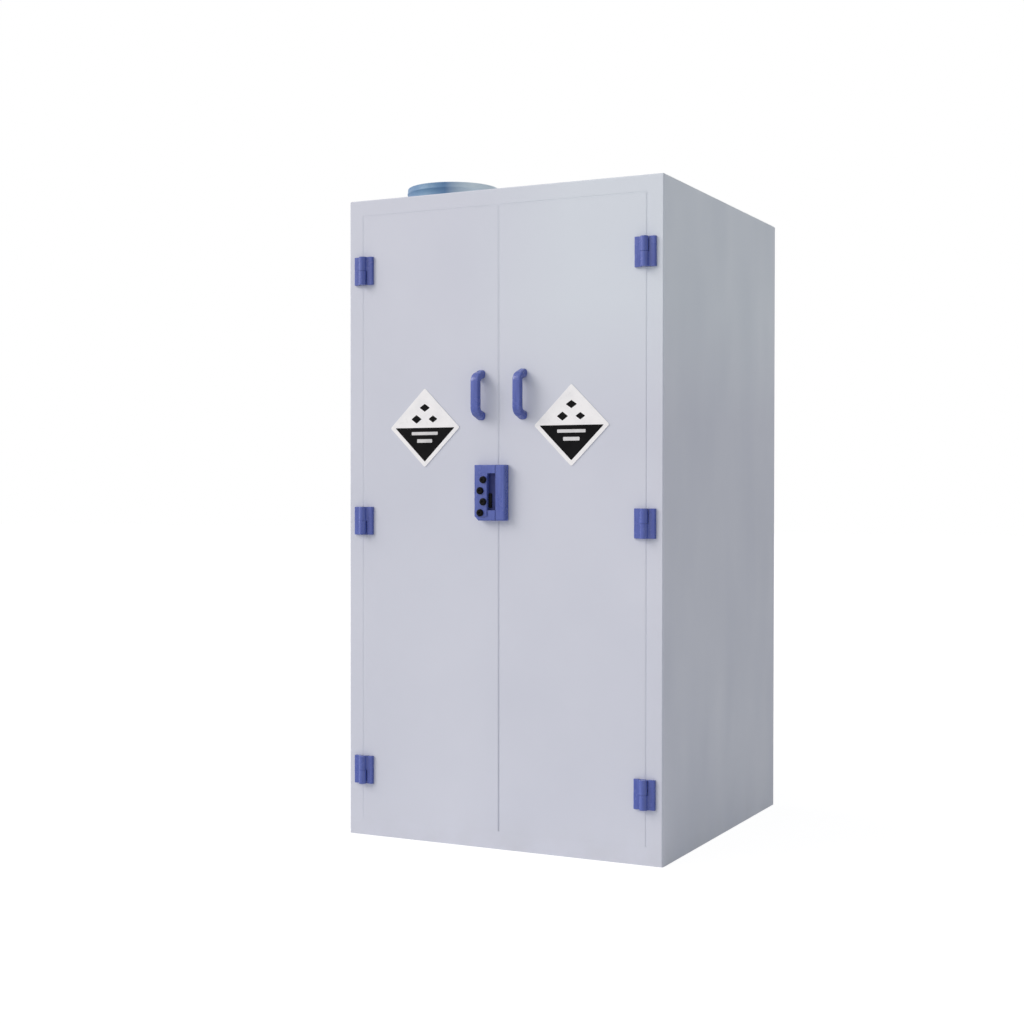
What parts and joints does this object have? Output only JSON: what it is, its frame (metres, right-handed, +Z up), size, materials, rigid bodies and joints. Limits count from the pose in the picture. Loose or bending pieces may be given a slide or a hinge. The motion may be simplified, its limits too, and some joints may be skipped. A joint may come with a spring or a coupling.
{
  "type": "reagent storage cabinet",
  "caption": "Tall plastic storage cabinet for reagents: paired hinged doors, blue hinges, handles and sliding lock, duct collar on the roof, lipped shelves inside.",
  "frame": {"origin": "on the floor, under the middle of the carcass footprint", "axes": "+Z up, the doors face -Y, +X to the right seen from the front"},
  "size_m": [0.876, 0.908, 1.71],
  "materials": {
    "pale_sheet": "satin, welded sheet",
    "inner_sheet": "satin, welded sheet",
    "blue_fitting": "moulded, soft sheen",
    "duct_blue": "moulded, matte",
    "black_cap": "moulded, matte",
    "placard_plate": "printed plate, soft sheen"
  },
  "bodies": {
    "carcass": {"side_panel_left": "pale_sheet", "side_panel_right": "pale_sheet", "back_panel": "pale_sheet", "floor_panel": "pale_sheet", "top_panel": "pale_sheet", "floor_bearer_left": "pale_sheet", "floor_bearer_centre": "pale_sheet", "floor_bearer_right": "pale_sheet", "stile_left": "pale_sheet", "stile_right": "pale_sheet", "rail_top": "pale_sheet", "rail_bottom": "pale_sheet", "door_stop_top": "pale_sheet", "door_stop_bottom": "pale_sheet", "shelf_rack_front_left": "inner_sheet", "shelf_rack_front_right": "inner_sheet", "shelf_rack_rear_left": "inner_sheet", "shelf_rack_rear_right": "inner_sheet", "shelf_cleat_lower_left": "inner_sheet", "shelf_cleat_lower_right": "inner_sheet", "shelf_cleat_upper_left": "inner_sheet", "shelf_cleat_upper_right": "inner_sheet", "shelf_tray_lower": "inner_sheet", "shelf_tray_upper": "inner_sheet", "sump_tray": "inner_sheet", "duct_collar": "duct_blue", "hinge_frame_leaf_left_top": "blue_fitting", "hinge_frame_leaf_left_middle": "blue_fitting", "hinge_frame_leaf_left_bottom": "blue_fitting", "hinge_frame_leaf_right_top": "blue_fitting", "hinge_frame_leaf_right_middle": "blue_fitting", "hinge_frame_leaf_right_bottom": "blue_fitting", "hinge_pins": "blue_fitting"},
    "door_left": {"door_skin_left": "pale_sheet", "door_core_left": "pale_sheet", "door_liner_left": "pale_sheet", "handle_left": "blue_fitting", "placard_left": "placard_plate", "hinge_door_leaf_left_top": "blue_fitting", "hinge_door_leaf_left_middle": "blue_fitting", "hinge_door_leaf_left_bottom": "blue_fitting", "lock_case": "blue_fitting", "lock_caps": "black_cap"},
    "door_right": {"door_skin_right": "pale_sheet", "door_core_right": "pale_sheet", "door_liner_right": "pale_sheet", "handle_right": "blue_fitting", "placard_right": "placard_plate", "hinge_door_leaf_right_top": "blue_fitting", "hinge_door_leaf_right_middle": "blue_fitting", "hinge_door_leaf_right_bottom": "blue_fitting", "lock_keeper": "blue_fitting"},
    "bolt": {"lock_bolt": "blue_fitting"}
  },
  "joints": [
    {"name": "door_left_swing", "type": "hinge", "parent": "carcass", "child": "door_left", "pos_m": [-0.3923, -0.4455, 0.8175], "axis": [0, 0, -1], "range_deg": [0, 170]},
    {"name": "door_right_swing", "type": "hinge", "parent": "carcass", "child": "door_right", "pos_m": [0.3923, -0.4455, 0.8175], "axis": [0, 0, 1], "range_deg": [0, 170]},
    {"name": "bolt_slide", "type": "slide", "parent": "door_left", "child": "bolt", "axis": [1, 0, 0], "range_m": [0, 0.012]}
  ]
}
